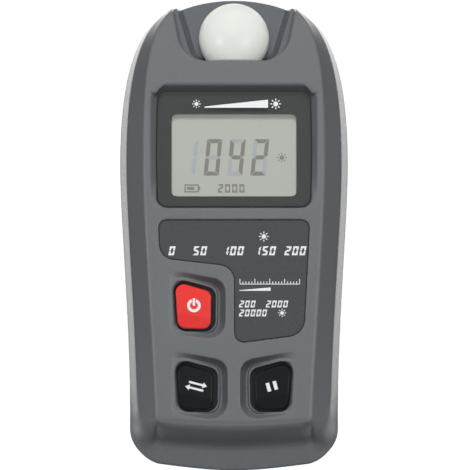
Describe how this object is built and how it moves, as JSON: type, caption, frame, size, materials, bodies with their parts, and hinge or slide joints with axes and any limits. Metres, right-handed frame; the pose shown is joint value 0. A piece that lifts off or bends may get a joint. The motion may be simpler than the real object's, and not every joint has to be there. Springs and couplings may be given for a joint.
{
  "type": "digital lux meter",
  "caption": "Hand-held digital light meter in a waisted grey housing: white diffuser ball in a notch at the head, tilted display window, label film, push keys and a sliding battery door.",
  "frame": {"origin": "centre of the flat back's outline box, on the back plane, with the meter lying on its back", "axes": "+X to the right as the display is read, +Y along the body toward the diffuser ball, +Z out of the display"},
  "size_m": [0.0546, 0.1133, 0.0268],
  "materials": {
    "shell_grey": "fine moulded texture",
    "clear_pane": "clear polished plastic window",
    "border_print": "dark grey print",
    "label_print": "dark grey printed film",
    "lcd_face": "grey liquid crystal panel",
    "white_plastic": "white",
    "elastomer": "soft conductive rubber",
    "board_green": "green board lacquer",
    "black_plastic": "moulded black",
    "bright_metal": "bright nickel",
    "capacitor_sleeve": "dark sleeve",
    "plunger_plastic": "moulded",
    "red_key": "red moulded plastic",
    "black_key": "black moulded plastic",
    "diffuser_white": "translucent white",
    "filter_glass": "green tinted glass",
    "gold_pin": "gold flash",
    "cell_jacket": "printed metal jacket",
    "screw_steel": "zinc plated"
  },
  "bodies": {
    "housing": {"front_shell": "shell_grey", "rear_shell": "shell_grey", "display_pane": "clear_pane", "pane_border": "border_print", "label_film": "label_print", "lcd_panel": "lcd_face", "lcd_reflector": "white_plastic", "lcd_frame": "white_plastic", "elastomer_strips": "elastomer", "main_board": "board_green", "controller_chip": "black_plastic", "clock_crystal": "bright_metal", "capacitors": "capacitor_sleeve", "chip_resistors": "black_plastic", "switch_bodies": "black_plastic", "diffuser_ball": "diffuser_white", "sensor_holder": "black_plastic", "colour_filter": "filter_glass", "photodiode": "black_plastic", "sensor_board": "board_green", "sensor_pins": "gold_pin", "left_cell": "cell_jacket", "right_cell": "cell_jacket", "contact_springs": "bright_metal", "bridge_plate": "bright_metal", "terminal_plates": "bright_metal", "housing_screws": "screw_steel", "board_screws": "screw_steel"},
    "power_button": {"power_key": "red_key", "power_plunger": "plunger_plastic"},
    "mode_button": {"mode_key": "black_key", "mode_plunger": "plunger_plastic"},
    "hold_button": {"hold_key": "black_key", "hold_plunger": "plunger_plastic"},
    "door": {"battery_door": "shell_grey"}
  },
  "joints": [
    {"name": "power_press", "type": "slide", "parent": "housing", "child": "power_button", "axis": [0, 0, -1], "range_m": [0, 0.0005], "stiffness_N_per_m": 1000, "springref_m": -0.0005},
    {"name": "mode_press", "type": "slide", "parent": "housing", "child": "mode_button", "axis": [0, 0, -1], "range_m": [0, 0.0005], "stiffness_N_per_m": 1000, "springref_m": -0.0005},
    {"name": "hold_press", "type": "slide", "parent": "housing", "child": "hold_button", "axis": [0, 0, -1], "range_m": [0, 0.0005], "stiffness_N_per_m": 1000, "springref_m": -0.0005},
    {"name": "door_slide", "type": "slide", "parent": "housing", "child": "door", "axis": [0, -1, 0], "range_m": [0, 0.06]}
  ]
}
